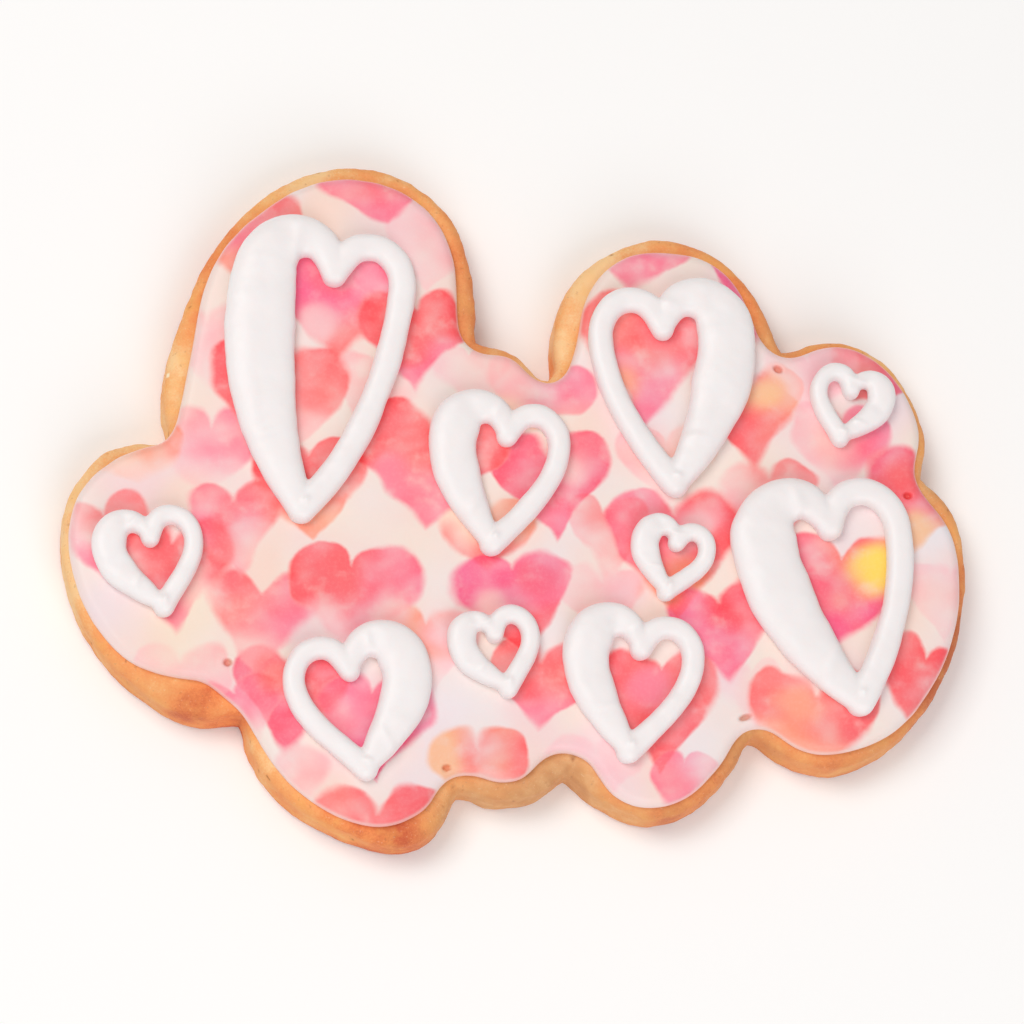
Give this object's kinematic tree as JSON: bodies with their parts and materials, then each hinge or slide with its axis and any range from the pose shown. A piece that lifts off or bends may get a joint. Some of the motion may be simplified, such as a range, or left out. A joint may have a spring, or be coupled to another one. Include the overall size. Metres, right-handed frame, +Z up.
{
  "type": "iced butter biscuit",
  "caption": "Flat iced butter biscuit cut as a cloud of round lobes, with a printed icing sheet and raised piped hearts.",
  "frame": {"origin": "centre of the underside, under the middle of the biscuit's box", "axes": "+X along the biscuit's length, +Y towards the tall lobes, +Z up through the iced face"},
  "size_m": [0.1156, 0.0893, 0.011],
  "materials": {
    "crust": "baked butter biscuit, matte, golden with browner sides and edges",
    "printed_icing": "set base icing with a soft print of pink and coral hearts, low sheen",
    "white_piping": "white piped icing, smooth with a satin sheen"
  },
  "bodies": {
    "root": {"biscuit": "crust", "base_icing": "printed_icing", "piped_heart_tall_left": "white_piping", "piped_heart_tall_middle": "white_piping", "piped_heart_far_right": "white_piping", "piped_heart_middle": "white_piping", "piped_heart_low_left": "white_piping", "piped_heart_low_middle": "white_piping", "piped_heart_left": "white_piping", "piped_heart_upper_right": "white_piping", "piped_heart_low_centre": "white_piping", "piped_heart_centre_right": "white_piping"}
  },
  "joints": []
}
